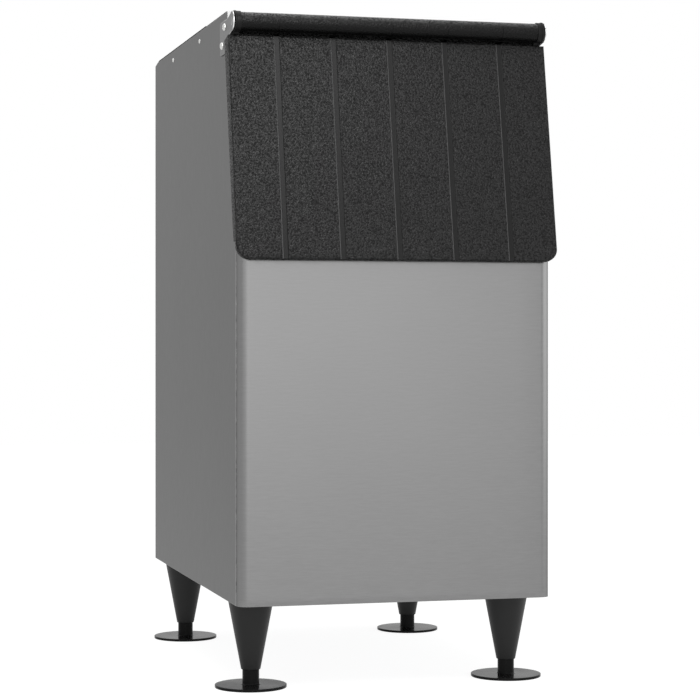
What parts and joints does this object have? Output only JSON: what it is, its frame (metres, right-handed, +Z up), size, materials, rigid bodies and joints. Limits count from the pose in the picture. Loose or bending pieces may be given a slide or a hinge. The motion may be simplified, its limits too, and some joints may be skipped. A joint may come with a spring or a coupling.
{
  "type": "ice storage bin",
  "caption": "Free-standing insulated ice storage bin in brushed stainless steel with a sloping black lift-up door, open top for an ice machine, and levelling legs.",
  "frame": {"origin": "on the floor under the middle of the whole bin, feet, door and drain stub included", "axes": "+Z up, -Y out of the front where the door is, +X to the right seen from the front"},
  "size_m": [0.5928, 0.8544, 1.1714],
  "materials": {
    "stainless": "brushed stainless sheet",
    "galvanised": "galvanised sheet",
    "zinc_steel": "plated steel",
    "door_black": "fine pebbled black plastic",
    "hinge_black": "satin black plastic",
    "inner_grey": "smooth dark grey plastic",
    "liner_white": "smooth white polyethylene",
    "frame_grey": "smooth grey plastic strip",
    "foam": "rigid foam",
    "tape_black": "closed-cell foam tape",
    "seal_black": "soft vinyl",
    "bush_white": "acetal",
    "leg_black": "satin black plastic",
    "foot_black": "glossy black plastic",
    "drain_white": "moulded plastic"
  },
  "bodies": {
    "cabinet": {"front_panel": "stainless", "left_side_panel": "stainless", "right_side_panel": "stainless", "header_cap": "stainless", "rear_panel": "galvanised", "base_pan": "galvanised", "left_top_rail": "galvanised", "right_top_rail": "galvanised", "bin_liner": "liner_white", "insulation": "foam", "throat_strip_bottom": "frame_grey", "throat_strip_top": "frame_grey", "throat_strip_left": "frame_grey", "throat_strip_right": "frame_grey", "top_tape_front": "tape_black", "top_tape_rear": "tape_black", "top_tape_left": "tape_black", "top_tape_right": "tape_black", "left_hinge_bracket": "stainless", "right_hinge_bracket": "stainless", "left_hinge_backing_plate": "zinc_steel", "right_hinge_backing_plate": "zinc_steel", "left_hinge_pin": "zinc_steel", "right_hinge_pin": "zinc_steel", "bracket_screws": "zinc_steel", "side_panel_screws": "zinc_steel", "rear_panel_screws": "zinc_steel", "drain_fitting": "drain_white", "drain_nut": "drain_white", "drain_washer": "seal_black", "leg_studs": "zinc_steel", "leg_plates": "zinc_steel", "leg_front_left": "leg_black", "leg_front_right": "leg_black", "leg_rear_left": "leg_black", "leg_rear_right": "leg_black"},
    "door": {"door_outer_shell": "door_black", "door_inner_shell": "inner_grey", "door_insulation": "foam", "door_seal": "seal_black", "door_screws": "zinc_steel", "left_hinge_cheek": "hinge_black", "right_hinge_cheek": "hinge_black", "left_hinge_bush": "bush_white", "right_hinge_bush": "bush_white"},
    "levelling_foot_front_left": {"foot_front_left": "foot_black"},
    "levelling_foot_front_right": {"foot_front_right": "foot_black"},
    "levelling_foot_rear_left": {"foot_rear_left": "foot_black"},
    "levelling_foot_rear_right": {"foot_rear_right": "foot_black"}
  },
  "joints": [
    {"name": "door_hinge", "type": "hinge", "parent": "cabinet", "child": "door", "pos_m": [0, -0.3633, 1.1449], "axis": [-1, 0, 0], "range_deg": [0, 175]},
    {"name": "level_front_left", "type": "slide", "parent": "cabinet", "child": "levelling_foot_front_left", "axis": [0, 0, 1], "range_m": [-0.01, 0.025]},
    {"name": "level_front_right", "type": "slide", "parent": "cabinet", "child": "levelling_foot_front_right", "axis": [0, 0, 1], "range_m": [-0.01, 0.025]},
    {"name": "level_rear_left", "type": "slide", "parent": "cabinet", "child": "levelling_foot_rear_left", "axis": [0, 0, 1], "range_m": [-0.01, 0.025]},
    {"name": "level_rear_right", "type": "slide", "parent": "cabinet", "child": "levelling_foot_rear_right", "axis": [0, 0, 1], "range_m": [-0.01, 0.025]}
  ]
}
